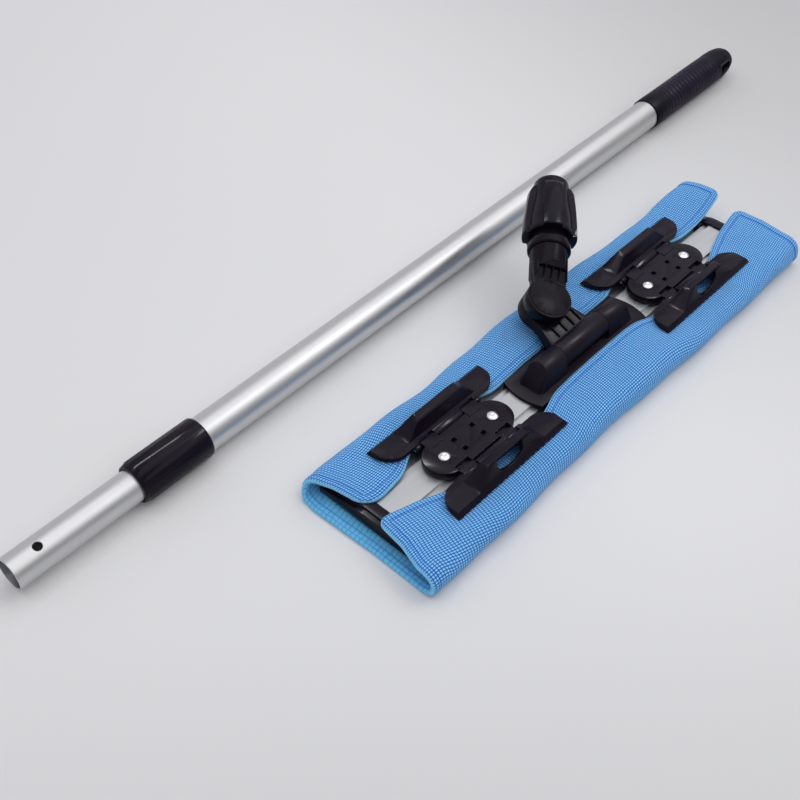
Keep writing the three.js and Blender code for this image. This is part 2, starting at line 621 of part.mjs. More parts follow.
function innerTube() {
  const r = INNER_TUBE_RADIUS;
  const bore = INNER_TUBE_BORE;
  const start = INNER_TUBE_END;
  const tube = turnedX([
    [start, bore], [start, r - 0.2], [start + 0.2, r], [280, r], [280, bore],
  ], 40);
  const drill = new THREE.CylinderGeometry(3.5, 3.5, 30, 24);
  drill.rotateX(THREE.MathUtils.degToRad(107.5));
  drill.translate(BUTTON_HOLE_X, 0, 0);
  addToPole('inner_tube', 'aluminium', tube.subtract(solid(drill)));
}

function guideBush() {
  addToPole('guide_bush', 'black', turnedX([
    [262, 0], [262, INNER_TUBE_BORE - 0.1], [280.2, INNER_TUBE_BORE - 0.1],
    [280.2, OUTER_TUBE_BORE - 0.06], [288, OUTER_TUBE_BORE - 0.06], [288, 0],
  ]));
}

function outerTube() {
  const r = OUTER_TUBE_RADIUS;
  addToPole('outer_tube', 'aluminium', turnedX([
    [OUTER_TUBE_START, OUTER_TUBE_BORE], [OUTER_TUBE_START, r],
    [OUTER_TUBE_END, r], [OUTER_TUBE_END, OUTER_TUBE_BORE],
  ], 40));
}

function twistCollar() {
  const flutes = 15;
  const outline = [];
  for (let i = 0; i < flutes * 2; i += 1) {
    const angle = (Math.PI * (i + 0.5)) / flutes;
    const r = i % 2 ? COLLAR_RADIUS - 0.45 : COLLAR_RADIUS;
    outline.push([r * Math.cos(angle), r * Math.sin(angle)]);
  }
  const [a, b] = [COLLAR_START, COLLAR_END];
  const ribbed = prismX(outline, a + 5, b - 1.2);
  const ends = turnedX([
    [a, 13.2], [a, 14.9], [a + 5, 16.1], [a + 6, 16.1], [b - 1.6, 16.1], [b, 15.6],
    [b, 14.5], [-300.4, 14.5], [-300.4, 14.1], [-314, 14.1], [-314, 13.2],
  ]);
  const clear = turnedX([[-330, 0], [-330, 14.8], [-240, 14.8], [-240, 0]]);
  addToPole('twist_collar', 'black', ribbed.subtract(clear).add(ends));
}

function clampRing() {
  const ring = turnedX([
    [-313.6, INNER_TUBE_RADIUS + 0.1], [-313.6, 13.8], [-300.6, 13.8], [-300.6, INNER_TUBE_RADIUS + 0.1],
  ]);
  addToPole('clamp_ring', 'black', ring.subtract(box(-315, -302, -1, 1, 0, 20)));
}

function grip() {
  const r = GRIP_RADIUS;
  const bore = OUTER_TUBE_RADIUS + 0.15;
  const waves = [];
  for (let i = 0; i < 34; i += 1) {
    waves.push([341 + i * 2.8, i % 2 ? r - 0.45 : r]);
  }
  const depth = OUTER_TUBE_END + 0.8;
  let body = turnedX([
    [GRIP_START, bore], [GRIP_START, r - 0.4], [GRIP_START + 0.8, r], ...waves, [444, r],
    [456, r - 0.5], [464, r - 1.9], [469, r - 4.4], [472.4, r - 8], [GRIP_END - 0.4, r - 12],
    [GRIP_END, 0], [depth, 0], [depth, bore],
  ]);
  for (const side of [-1, 1]) {
    const y0 = Math.min(side * 11, side * 18);
    const y1 = Math.max(side * 11, side * 18);
    body = body.subtract(box(441.5, GRIP_END + 1, y0, y1, -9.6, 9.6));
  }
  const hole = prismY(roundedOutline(447, 465, -5, 5, [4.8, 4.8, 4.8, 4.8]), -20, 20);
  addToPole('grip', 'black', body.subtract(hole));
}

// ---- Build -------------------------------------------------------------------------------

basePlate();
endCap('end_cap_near', -1);
endCap('end_cap_far', 1);
foamPad();
mopCloth();
clipBase('clip_base_near', -CLIP_CENTRE);
clipBase('clip_base_far', CLIP_CENTRE);
rivetPlaces().forEach((x, i) => rivet(`rivet_${i + 1}`, x));
for (const [end, x] of [['near', -CLIP_CENTRE], ['far', CLIP_CENTRE]]) {
  for (const [hand, side] of [['left', 1], ['right', -1]]) {
    hingePin(`hinge_pin_${end}_${hand}`, x, side);
    torsionSpring(`spring_${end}_${hand}`, x, side);
  }
}
swivelBase();
swivelShaft();
screwPlaces().forEach((x, i) => baseScrew(`base_screw_${i + 1}`, x));
yoke();
knuckleBolt();
neck();
collet();
lockNut();
levers();
innerTube();
guideBush();
outerTube();
twistCollar();
clampRing();
grip();

export default group;
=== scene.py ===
import math

import bpy
import numpy as np
from mathutils import Matrix, Vector


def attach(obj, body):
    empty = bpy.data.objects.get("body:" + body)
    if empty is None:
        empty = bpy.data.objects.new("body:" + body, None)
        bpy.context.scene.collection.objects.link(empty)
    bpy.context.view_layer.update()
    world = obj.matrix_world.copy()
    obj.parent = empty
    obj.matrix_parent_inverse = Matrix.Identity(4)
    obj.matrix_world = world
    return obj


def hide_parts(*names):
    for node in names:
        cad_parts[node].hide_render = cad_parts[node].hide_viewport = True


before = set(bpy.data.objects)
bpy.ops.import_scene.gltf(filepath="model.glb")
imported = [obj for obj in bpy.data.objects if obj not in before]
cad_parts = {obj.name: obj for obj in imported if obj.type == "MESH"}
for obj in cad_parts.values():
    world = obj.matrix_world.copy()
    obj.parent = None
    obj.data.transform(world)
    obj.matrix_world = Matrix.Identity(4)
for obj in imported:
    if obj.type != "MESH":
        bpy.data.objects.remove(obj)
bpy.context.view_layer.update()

# Millimetres, in the part's frame.
CLIP_X = 126.5
JAW_HALF = 60.5
JAW_REACH = 47
CLOTH_THICK = 3.6
FLAT_LENGTH = 474.0
FLAT_WIDTH = 264.0
HEM_WIDTH = 6.6
HEM_FOLD_OUTSIDE = 0.45
HEM_FOLD_INSIDE = 0.4
KNOT_LENGTH = 2.4
KNOT_WIDTH = 1.9
STITCH_PITCH = 2.1
RIB_PITCH = 4.2
RING_PITCH = 5.6
RINGS_START, RINGS_END = 334, 446

BLACK_NODES = ("end_cap", "clip_base", "lever", "swivel_base", "yoke", "neck", "collet", "lock_nut",
               "twist_collar", "clamp_ring", "guide_bush", "grip")


# ---- Materials ---------------------------------------------------------------------------

class Shader:
    """A small helper that builds one procedural material."""

    def __init__(self, name):
        self.material = bpy.data.materials.new(name)
        self.material.use_nodes = True
        self.nodes = self.material.node_tree.nodes
        self.links = self.material.node_tree.links
        self.base = self.nodes["Principled BSDF"]

    def node(self, kind, **inputs):
        made = self.nodes.new(kind)
        for key, value in inputs.items():
            self.set(made, key, value)
        return made

    def set(self, node, key, value):
        socket = node.inputs[key]
        if isinstance(value, bpy.types.NodeSocket):
            self.links.new(value, socket)
        else:
            socket.default_value = value

    def math(self, operation, a, b=0.0, c=0.0):
        made = self.nodes.new("ShaderNodeMath")
        made.operation = operation
        for i, value in enumerate((a, b, c)):
            if isinstance(value, bpy.types.NodeSocket):
                self.links.new(value, made.inputs[i])
            else:
                made.inputs[i].default_value = value
        return made.outputs[0]

    def ramp(self, value, low, high, to_low=0.0, to_high=1.0):
        made = self.nodes.new("ShaderNodeMapRange")
        made.interpolation_type = "SMOOTHSTEP"
        self.links.new(value, made.inputs["Value"])
        made.inputs["From Min"].default_value = low
        made.inputs["From Max"].default_value = high
        made.inputs["To Min"].default_value = to_low
        made.inputs["To Max"].default_value = to_high
        return made.outputs["Result"]

    def wave(self, value, pitch):
        """Rises from nothing to one and falls back once every pitch."""
        return self.math("ABSOLUTE", self.math("SINE", self.math("MULTIPLY", value, math.pi / pitch)))

    def product(self, first, *others):
        for other in others:
            first = self.math("MULTIPLY", first, other)
        return first

    def less(self, value, share=1.0):
        """One minus a share of the value."""
        return self.math("SUBTRACT", 1.0, self.math("MULTIPLY", value, share))

    def place(self, layer=None):
        """X and Y of a UV layer, or of the object's own coordinates in metres."""
        if layer:
            source = self.node("ShaderNodeUVMap")
            source.uv_map = layer
            where = source.outputs["UV"]
        else:
            where = self.node("ShaderNodeTexCoord").outputs["Object"]
        split = self.node("ShaderNodeSeparateXYZ", Vector=where)
        return split.outputs["X"], split.outputs["Y"]

    def band(self, value, centre, width):
        """One inside a narrow band round the centre, fading to nothing."""
        away = self.math("ABSOLUTE", self.math("SUBTRACT", value, centre))
        return self.ramp(away, width * 0.3, width, 1.0, 0.0)

    def mix(self, factor, a, b):
        made = self.nodes.new("ShaderNodeMix")
        made.data_type = "RGBA"
        for key, value in ((0, factor), (6, a), (7, b)):
            if isinstance(value, bpy.types.NodeSocket):
                self.links.new(value, made.inputs[key])
            else:
                made.inputs[key].default_value = value
        return made.outputs[2]

    def noise(self, scale, detail=3.0, stretch=None):
        where = self.node("ShaderNodeTexCoord").outputs["Object"]
        if stretch:
            mapping = self.node("ShaderNodeMapping")
            self.links.new(where, mapping.inputs["Vector"])
            mapping.inputs["Scale"].default_value = stretch
            where = mapping.outputs["Vector"]
        made = self.node("ShaderNodeTexNoise", Vector=where, Scale=scale, Detail=detail)
        return made.outputs["Fac"]

    def bump(self, height, distance, strength=1.0):
        made = self.node("ShaderNodeBump", Height=height, Distance=distance, Strength=strength)
        self.set(self.base, "Normal", made.outputs["Normal"])


def black_plastic(name, roughness, tint, spread=0.06, grain=0.00004):
    s = Shader(name)
    broad = s.noise(35.0)
    fine = s.noise(900.0, 2.0)
    s.set(s.base, "Base Color", s.mix(broad, (*tint, 1), tuple(min(1, c * 1.6) for c in tint) + (1,)))
    s.set(s.base, "Roughness", s.ramp(broad, 0.3, 0.7, roughness - spread, roughness + spread))
    s.set(s.base, "Specular IOR Level", 0.12)
    s.bump(fine, grain, 0.6)
    return s.material


def ringed_grip(name):
    """The grip's rubber, with soft rings round its middle part, their ripples also drawn as painted shade and
    highlight.
    """
    s = Shader(name)
    along = s.math("MULTIPLY", s.place()[0], 1000.0)
    middle = s.product(s.ramp(along, RINGS_START, RINGS_START + 16),
                       s.ramp(along, RINGS_END - 18, RINGS_END, 1.0, 0.0))
    ring = s.product(s.wave(along, RING_PITCH), middle, s.ramp(s.noise(40.0), 0.3, 0.65, 0.35, 1.0))
    grain = s.math("MULTIPLY", s.noise(900.0, 2.0), 0.06)
    # Painted shade and highlight: the colour is darker in the hollows between the rings and lighter on their
    # crests.
    s.set(s.base, "Base Color", s.mix(ring, (0.0022, 0.0014, 0.0046, 1), (0.0105, 0.0068, 0.019, 1)))
    s.set(s.base, "Roughness", s.ramp(ring, 0.0, 1.0, 0.46, 0.36))
    s.set(s.base, "Specular IOR Level", 0.09)
    s.bump(s.math("ADD", ring, grain), 0.0008, 0.8)
    return s.material


def aluminium(name, colour, roughness, stretch, depth=0.00002):
    s = Shader(name)
    grain = s.noise(1.0, 3.0, stretch)
    broad = s.noise(14.0)
    dark = tuple(c * 0.86 for c in colour) + (1,)
    s.set(s.base, "Base Color", s.mix(grain, dark, (*colour, 1)))
    s.set(s.base, "Metallic", 1.0)
    s.set(s.base, "Roughness", s.ramp(broad, 0.3, 0.7, roughness - 0.04, roughness + 0.05))
    s.bump(grain, depth, 0.5)
    return s.material


def polished_steel(name):
    s = Shader(name)
    broad = s.noise(120.0)
    s.set(s.base, "Base Color", s.mix(broad, (0.72, 0.72, 0.73, 1), (0.86, 0.86, 0.87, 1)))
    s.set(s.base, "Metallic", 1.0)
    s.set(s.base, "Roughness", s.ramp(broad, 0.3, 0.7, 0.16, 0.3))
    s.bump(s.noise(500.0), 0.00002, 0.5)
    return s.material


def foam(name):
    s = Shader(name)
    grain = s.noise(700.0, 4.0)
    s.set(s.base, "Base Color", s.mix(grain, (0.02, 0.02, 0.022, 1), (0.07, 0.07, 0.075, 1)))
    s.set(s.base, "Roughness", 0.95)
    s.bump(grain, 0.0003)
    return s.material


def cloth_outside(name):
    """Microfibre weave: small raised knots in rows with dark gaps, and a stitched hem along every edge."""
    s = Shader(name)
    u, v = s.place("cloth_mm")
    rim, along = s.place("hem_mm")
    wobble = s.math("MULTIPLY", s.math("SUBTRACT", s.noise(70.0), 0.5), 1.6)
    columns = s.ramp(s.wave(s.math("ADD", u, wobble), KNOT_LENGTH), 0.12, 0.66)
    rows = s.ramp(s.wave(s.math("ADD", v, wobble), KNOT_WIDTH), 0.18, 0.78)
    knots = s.product(columns, rows)
    stitches = s.ramp(s.wave(along, STITCH_PITCH), 0.0, 0.5, 0.6, 1.0)
    at_rim = s.ramp(rim, 0.5, 1.1, 1.0, 0.0)
    seam = s.math("MAXIMUM", s.band(rim, HEM_WIDTH, 0.8), s.band(rim, 1.7, 0.3))
    weave = s.math("ADD", s.product(knots, s.less(at_rim)), s.product(stitches, at_rim))
    raised = s.product(weave, s.less(seam, 0.5))
    fuzz = s.noise(1500.0, 3.0)
    bright = s.mix(s.noise(18.0, 2.0), (0.135, 0.52, 0.99, 1), (0.19, 0.59, 1.0, 1))
    knot_colour = s.mix(fuzz, bright, (0.34, 0.74, 1.0, 1))
    s.set(s.base, "Base Color", s.mix(raised, (0.006, 0.085, 0.50, 1), knot_colour))
    s.set(s.base, "Roughness", 0.85)
    s.set(s.base, "Specular IOR Level", 0.2)
    s.set(s.base, "Sheen Weight", 0.22)
    s.set(s.base, "Sheen Roughness", 0.5)
    s.set(s.base, "Sheen Tint", (0.6, 0.85, 1.0, 1))
    s.bump(s.math("ADD", raised, s.math("MULTIPLY", fuzz, 0.3)), 0.0009, 0.55)
    return s.material


def cloth_inside(name):
    """The back of the cloth: pale stitched ribs."""
    s = Shader(name)
    u, v = s.place("cloth_mm")
    rim = s.place("hem_mm")[0]
    wobble = s.math("MULTIPLY", s.math("SUBTRACT", s.noise(90.0), 0.5), 4.5)
    wide = s.ramp(s.wave(s.math("ADD", v, wobble), RIB_PITCH), -0.3, 0.7)
    fine = s.ramp(s.wave(v, 1.3), 0.0, 0.6, 0.7, 1.0)
    ticks = s.ramp(s.wave(u, 1.6), 0.0, 0.5, 0.85, 1.0)
    seam = s.math("MAXIMUM", s.band(rim, HEM_WIDTH, 0.9), s.band(rim, 2.4, 0.5))
    ridge = s.product(wide, fine, ticks, s.less(seam, 0.7))
    s.set(s.base, "Base Color", s.mix(ridge, (0.05, 0.30, 0.74, 1), (0.17, 0.60, 0.97, 1)))
    s.set(s.base, "Roughness", 0.9)
    s.set(s.base, "Specular IOR Level", 0.2)
    s.set(s.base, "Sheen Weight", 0.3)
    s.bump(ridge, 0.0006, 0.7)
    return s.material


def floor_material(name):
    """Pale board with painted shade: a little darker towards the far and the near corners, where the light
    falls off.
    """
    s = Shader(name)
    x, y = s.place()
    far = s.math("ADD", x, s.math("MULTIPLY", y, -0.35))
    near = s.math("ADD", s.math("MULTIPLY", x, -0.55), s.math("MULTIPLY", y, -0.83))
    # Painted shade: the board's colour darkens towards the far and the near corners.
    painted_corner_shade = s.product(s.ramp(far, -0.05, 0.65, 1.0, 0.68), s.ramp(near, 0.1, 0.45, 1.0, 0.82))
    light = s.mix(s.noise(1.6, 2.0), (0.775, 0.775, 0.782, 1), (0.805, 0.805, 0.808, 1))
    s.set(s.base, "Base Color", s.mix(painted_corner_shade, (0.0, 0.0, 0.0, 1), light))
    s.set(s.base, "Roughness", 0.7)
    s.set(s.base, "Specular IOR Level", 0.25)
    return s.material


# ---- Cloth -------------------------------------------------------------------------------

def smooth(x, knots, width=6.0):
    """Values that pass near the knots and change gently in between."""
    places, values = zip(*knots)
    offsets = np.linspace(-2, 2, 9)
    weights = np.exp(-offsets ** 2 / 1.6)
    total = sum(w * np.interp(x + o * width, places, values) for o, w in zip(offsets, weights))
    return total / weights.sum()


# Each flap's outline along the mop, as (x, value) pairs in millimetres. "inner" and "edge" say how far its
# inner edge lies from the centre line and how high, "outer" and "roll" the same for the rounded side, and
# "jaw" the height where the jaws press.
LEFT = {
    "inner": [(-226, 17), (-214, 10), (-208, 9), (-192, 10.5), (-180, 13), (-170, 19), (-160, 25), (-90, 25),
              (-84, 21), (-76, 18.4), (-62, 19.4), (-32, 21), (-10, 20.5), (44, 19.2), (60, 18.8), (74, 19.5),
              (86, 25), (160, 25), (168, 20), (178, 17), (202, 17), (217, 18), (237, 20), (250, 22)],
    "edge": [(-230, 17.5), (-214, 18.8), (-190, 18.8), (-176, 18.3), (-162, 17.4), (-90, 17.4), (-76, 18),
             (-40, 17), (40, 17), (76, 18), (90, 17.4), (160, 17.4), (180, 18.4), (205, 19.5), (222, 22),
             (236, 26), (250, 29)],
    "outer": [(-240, 60), (-213, 62), (-182, 63), (-139, 62.5), (-102, 60.5), (-70, 63), (-35, 65), (0, 64),
              (94, 62.5), (134, 61), (162, 60), (196, 61.5), (250, 61)],
    "roll": [(-240, 17.2), (-215, 18.8), (-188, 19.4), (-130, 18.6), (-66, 19.4), (0, 20.4), (66, 19.4),
             (130, 18.6), (190, 20), (215, 21.5), (235, 24), (250, 25.5)],
    "jaw": [(-240, 17.2), (-215, 19.4), (-192, 18.8), (-184, 18), (-68, 18), (-60, 18.6), (-30, 19.8),
            (30, 19.8), (60, 18.6), (68, 18), (184, 18), (192, 19), (212, 22), (232, 26), (250, 28)],
}
RIGHT = {
    "inner": [(-232, 4), (-222, 3), (-213, 5), (-193, 11), (-178, 16), (-166, 22), (-158, 25), (-86, 25),
              (-74, 24), (-62, 21.5), (-50, 17), (-28, 15.6), (14, 15.2), (46, 15.6), (62, 17), (74, 21),
              (88, 25), (156, 25), (164, 19), (176, 12), (188, 8), (205, 3), (225, 0), (250, -3)],
    "edge": [(-232, 21), (-222, 20.2), (-205, 19.4), (-190, 18.8), (-170, 17.8), (-158, 17.4), (-84, 17.4),
             (-66, 19.6), (-50, 21.3), (20, 21.3), (56, 21.3), (72, 19), (88, 17.4), (158, 17.4),
             (176, 18.8), (200, 20.4), (225, 22), (250, 24)],
    "outer": [(-240, 63), (-204, 64), (-163, 64.5), (-95, 61.5), (-50, 60.5), (-8, 60.5), (41, 62.5),
              (94, 64), (159, 64), (210, 63.5), (250, 62)],
    "roll": [(-240, 19), (-215, 19.6), (-188, 19.4), (-130, 18.6), (-66, 19.4), (0, 20.8), (66, 19.4),
             (130, 18.6), (190, 20), (215, 21), (250, 22)],
    "jaw": [(-240, 20), (-215, 20.4), (-192, 19), (-184, 18), (-68, 18), (-60, 19), (-30, 20.6), (30, 20.6),
            (60, 19), (68, 18), (184, 18), (192, 19), (212, 20.8), (250, 22.5)],
}
FIRST_STATION, LAST_STATION, STATIONS = -240, 250, 246
LAYER_HEIGHT = CLOTH_THICK / 2 + 0.1


def half_section(side, x):
    """Control points of the cloth's middle layer from a flap's inner edge down to the underside."""
    names = ("inner", "edge", "outer", "roll", "jaw")
    inner, edge, outer, roll, jaw = (float(smooth(x, side[name])) for name in names)
    reach = 46 - inner
    side_y = outer - CLOTH_THICK / 2
    top = [(inner, edge), (inner + 0.1 * reach, edge * 0.7 + jaw * 0.3)]
    top += [(inner + share * reach, jaw) for share in (0.3, 0.55, 0.8)]
    roll_over = [(46.5, (jaw + roll) / 2), (53.5, roll + 0.4), (side_y - 1.2, roll - 2.4)]
    down = [(side_y + 1.2, 11.5), (side_y + 0.4, 4.6)]
    under = [(y, LAYER_HEIGHT) for y in (55.5, 47, 30)]
    return top + roll_over + down + under


def spline(control, count):
    """A clamped cubic B-spline through a list of control points."""
    p = np.array(control, float)
    n = len(p)
    knots = np.concatenate([[0] * 3, np.arange(n - 2), [n - 3] * 3]).astype(float)
    t = np.linspace(0, n - 3 - 1e-9, count)
    at = t[:, None]
    basis = ((knots[None, :-1] <= at) & (at < knots[None, 1:])).astype(float)
    for k in range(1, 4):
        left = knots[k:-1] - knots[:-k - 1]
        right = knots[k + 1:] - knots[1:-k]
        rising = np.where(left > 0, (at - knots[None, :-k - 1]) / np.where(left > 0, left, 1), 0)
        falling = np.where(right > 0, (knots[None, k + 1:] - at) / np.where(right > 0, right, 1), 0)
        basis = rising * basis[:, :-1] + falling * basis[:, 1:]
    return basis @ p


def section(x, shares):
    """Middle layer across the mop at x, at the given shares of its length from the left flap's edge."""
    left = half_section(LEFT, x)
    right = half_section(RIGHT, x)
    control = left + [(0, LAYER_HEIGHT)] + [(-y, z) for y, z in reversed(right)]
    fine = spline(control, 500)
    lengths = np.concatenate([[0], np.cumsum(np.linalg.norm(np.diff(fine, axis=0), axis=1))])
    places = shares * lengths[-1]
    return np.stack([np.interp(places, lengths, fine[:, axis]) for axis in (0, 1)], 1)


def spaced(length, step):
    """Places along a length, close together in the hems at both ends."""
    hem = np.array([0, 0.12, 0.45, 0.95, 1.6, 2.3, 2.9, 3.3, 3.8, 4.6, 5.4, 6.0, 6.5, 7.0, 7.8, 9.0])
    middle = np.linspace(hem[-1], length - hem[-1], int((length - 2 * hem[-1]) / step))[1:-1]
    return np.concatenate([hem, middle, length - hem[::-1]])


def rounded(a, b, radius):
    """Distances from two meeting edges, drawn in to a rounded corner, and the distance to its rim."""
    p = np.stack([radius - a, radius - b]) / radius
    inside = (p[0] > 0) & (p[1] > 0)
    size = np.maximum(np.hypot(p[0], p[1]), 1e-9)
    scale = np.where(inside, np.maximum(p[0], p[1]) / size, 1.0)
    q = p * scale
    rim = np.where(inside, radius * (1 - np.hypot(q[0], q[1])), np.minimum(a, b))
    return np.where(inside, radius * (1 - q[0]), a), np.where(inside, radius * (1 - q[1]), b), rim


def ends(shares):
    """Where the cloth's near and far edges are, at each share across."""
    across = [0, 0.1, 0.17, 0.22, 0.27, 0.5, 0.73, 0.82, 0.9, 1]
    near = np.interp(shares, across, [-221, -225, -231, -236.5, -238, -236, -236.5, -235, -229, -226])
    far = np.interp(shares, across, [246, 245, 243, 241, 240, 240, 240, 241, 243, 240])
    return near, far


# Radii of the flat cloth's corners, by (left, near).
CORNERS = {(True, True): 9.0, (True, False): 9.0, (False, True): 7.5, (False, False): 9.0}


def cloth_grid():
    """Flat coordinates of every vertex, its distance from the rim and the place along it."""
    us, vs = spaced(FLAT_LENGTH, 2.4), spaced(FLAT_WIDTH, 2.2)
    u, v = np.meshgrid(us, vs, indexing="ij")
    rim = np.minimum(np.minimum(u, FLAT_LENGTH - u), np.minimum(v, FLAT_WIDTH - v))
    for near in (True, False):
        for left in (True, False):
            a = u if near else FLAT_LENGTH - u
            b = v if left else FLAT_WIDTH - v
            radius = CORNERS[left, near]
            a2, b2, r2 = rounded(a, b, radius)
            here = (a < radius) & (b < radius)
            u = np.where(here, a2 if near else FLAT_LENGTH - a2, u)
            v = np.where(here, b2 if left else FLAT_WIDTH - b2, v)
            rim = np.where(here, r2, rim)
    along = np.where(np.minimum(u, FLAT_LENGTH - u) < np.minimum(v, FLAT_WIDTH - v), v, u)
    return u, v, rim, along


def cloth_middle(u, v):
    """The wrapped middle layer of the cloth at flat coordinates u along the mop and v across it."""
    shares = np.linspace(0, 1, 361)
    stations = np.linspace(FIRST_STATION, LAST_STATION, STATIONS)
    table = np.stack([section(x, shares) for x in stations])
    share = v / FLAT_WIDTH
    near, far = ends(share)
    x = near + (far - near) * u / FLAT_LENGTH
    i = (x - stations[0]) / (stations[1] - stations[0])
    k = share * (len(shares) - 1)
    i0 = np.clip(i.astype(int), 0, len(stations) - 2)
    k0 = np.clip(k.astype(int), 0, len(shares) - 2)
    past_i, past_k = (i - i0)[..., None], (k - k0)[..., None]
    before = table[i0, k0] * (1 - past_k) + table[i0, k0 + 1] * past_k
    after = table[i0 + 1, k0] * (1 - past_k) + table[i0 + 1, k0 + 1] * past_k
    return np.concatenate([x[..., None], before * (1 - past_i) + after * past_i], 2)


def waves(points):
    """Slow unevenness of the wrapped cloth, none where the jaws press it or the floor holds it."""
    x, y, z = points[..., 0], points[..., 1], points[..., 2]
    free = np.ones_like(x)
    for centre in (-CLIP_X, CLIP_X):
        inside = np.clip((JAW_HALF + 6 - np.abs(x - centre)) / 8, 0, 1)
        free = np.minimum(free, 1 - inside * (np.abs(y) < JAW_REACH))
    slow = (0.5 * np.sin(x / 17.0 + y / 31.0) + 0.3 * np.sin(x / 9.5 - y / 14.0 + 1.7)
            + 0.5 * np.sin(x / 41.0 + 0.6))
    beyond_jaws = np.clip((16 - np.abs(np.abs(x) - 205)) / 10, 0, 1)
    pucker = 0.22 * np.sin(x / 5.2 + y / 9.0) * beyond_jaws
    roll = 0.35 * np.sin(x / 12.0 + z / 9.0)
    on_top = np.clip((z - 9) / 5, 0, 1)
    on_side = np.clip((np.abs(y) - 50) / 8, 0, 1)
    return ((0.75 * slow + pucker) * on_top + 1.5 * roll * on_side) * free


def normals_of(points):
    du = np.gradient(points, axis=0)
    dv = np.gradient(points, axis=1)
    n = np.cross(du, dv)
    return n / np.maximum(np.linalg.norm(n, axis=2, keepdims=True), 1e-9)


def hem_profile(d, limit):
    """Half thickness at a distance d from the rim: a rounded rim, the folded hem and its rows of stitches."""
    fold = limit * (1 - 1 / (1 + np.exp(-(d - HEM_WIDTH) * 2.6)))
    stitch = 0.45 * np.exp(-((d - HEM_WIDTH) / 0.6) ** 2) + 0.3 * np.exp(-((d - 3.3) / 0.5) ** 2)
    full = CLOTH_THICK / 2 + fold - stitch
    from_rim = 1 - np.clip(d / (CLOTH_THICK / 2 + limit), 0, 1)
    return full * np.maximum(np.sqrt(1 - from_rim ** 2), 0.08)


def cloth_points(u, v, rim):
    """The two faces of the cloth: its middle layer, uneven, moved out and in by half its thickness."""
    points = cloth_middle(u, v)
    n = normals_of(points)
    if n[len(u) // 2, u.shape[1] // 2, 2] > 0:
        n = -n
    points = points + n * waves(points)[..., None]
    outer = points + n * hem_profile(rim, HEM_FOLD_OUTSIDE)[..., None]
    inner = points - n * hem_profile(rim, HEM_FOLD_INSIDE)[..., None]
    outer[..., 2] = np.maximum(outer[..., 2], 0.02)
    return np.concatenate([outer.reshape(-1, 3), inner.reshape(-1, 3)])


def cloth_faces(rows, cols):
    """Quads of both faces and of the rim that joins them, each with its material's number."""
    base = rows * cols
    faces, inside = [], []
    for i in range(rows - 1):
        for k in range(cols - 1):
            a = i * cols + k
            b, c, d = a + 1, a + cols + 1, a + cols
            faces.append((a, b, c, d))
            inside.append(0)
            faces.append((base + a, base + d, base + c, base + b))
            inside.append(1)
    ring = [(0, k) for k in range(cols)] + [(i, cols - 1) for i in range(1, rows)]
    ring += [(rows - 1, k) for k in range(cols - 2, -1, -1)] + [(i, 0) for i in range(rows - 2, 0, -1)]
    ring = [i * cols + k for i, k in ring]
    for a, b in zip(ring, ring[1:] + ring[:1]):
        faces.append((b, a, base + a, base + b))
        inside.append(0)
    return faces, inside


def make_cloth():
    u, v, rim, along = cloth_grid()
    verts = cloth_points(u, v, rim) / 1000
    faces, inside = cloth_faces(*u.shape)
    mesh = bpy.data.meshes.new("microfibre_cloth")
    mesh.from_pydata([tuple(p) for p in verts], [], faces)
    mesh.polygons.foreach_set("use_smooth", [True] * len(faces))
    mesh.polygons.foreach_set("material_index", inside)
    corners = np.zeros(len(mesh.loops), int)
    mesh.loops.foreach_get("vertex_index", corners)
    for name, pair in (("cloth_mm", (u, v)), ("hem_mm", (rim, along))):
        layer = mesh.uv_layers.new(name=name)
        flat = np.stack(pair, 2).reshape(-1, 2)
        flat = np.concatenate([flat, flat])
        layer.data.foreach_set("uv", flat[corners].ravel().astype(np.float32))
    mesh.update()
    made = bpy.data.objects.new("microfibre_cloth", mesh)
    bpy.context.scene.collection.objects.link(made)
    mesh.materials.append(cloth_outside("cloth_outside"))
    mesh.materials.append(cloth_inside("cloth_inside"))
    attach(made, "head")
    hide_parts("mop_cloth")


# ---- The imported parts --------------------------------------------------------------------

# Width of the rounded edges in millimetres, by the first word of a node's name. With 0 the shading is only
# split at sharp edges.
ROUNDING = {"inner": 0, "outer": 0, "base": 0, "lever": 0.45, "swivel": 0.5, "yoke": 0.35, "neck": 0.35,
            "lock": 0.4, "clip": 0.3, "rivet": 0.15, "grip": 0.3, "foam": 0.2}
USUAL_ROUNDING = 0.35
SHARP_ANGLE = math.radians(28)
WELD_DISTANCE = 0.00001

BLACK = (0.0040, 0.0026, 0.0060)
DEEP_BLACK = (0.0030, 0.0020, 0.0050)
TUBE_GREY = (0.655, 0.655, 0.66)
PLATE_GREY = (0.57, 0.575, 0.59)


def finish_parts():
    plain = black_plastic("black_plastic", roughness=0.25, tint=BLACK)
    satin = black_plastic("black_plastic_satin", roughness=0.42, tint=BLACK)
    glossy = black_plastic("black_plastic_glossy", roughness=0.2, tint=DEEP_BLACK, spread=0.04)
    tube = aluminium("tube_aluminium", TUBE_GREY, roughness=0.39, stretch=(8.0, 60.0, 60.0), depth=0.000004)
    plate = aluminium("plate_aluminium", PLATE_GREY, roughness=0.5, stretch=(20.0, 300.0, 300.0),
                      depth=0.00001)
    steel = polished_steel("rivet_steel")
    special = {
        "yoke": satin,
        "swivel_base": satin,
        "lock_nut": glossy,
        "grip": ringed_grip("black_grip"),
        "inner_tube": tube,
        "outer_tube": tube,
        "base_plate": plate,
        "foam_pad": foam("pad_foam"),
    }
    for name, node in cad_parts.items():
        usual = plain if name.startswith(BLACK_NODES) else steel
        node.data.materials.clear()
        node.data.materials.append(special.get(name, usual))
        soften(node, ROUNDING.get(name.split("_")[0], USUAL_ROUNDING))


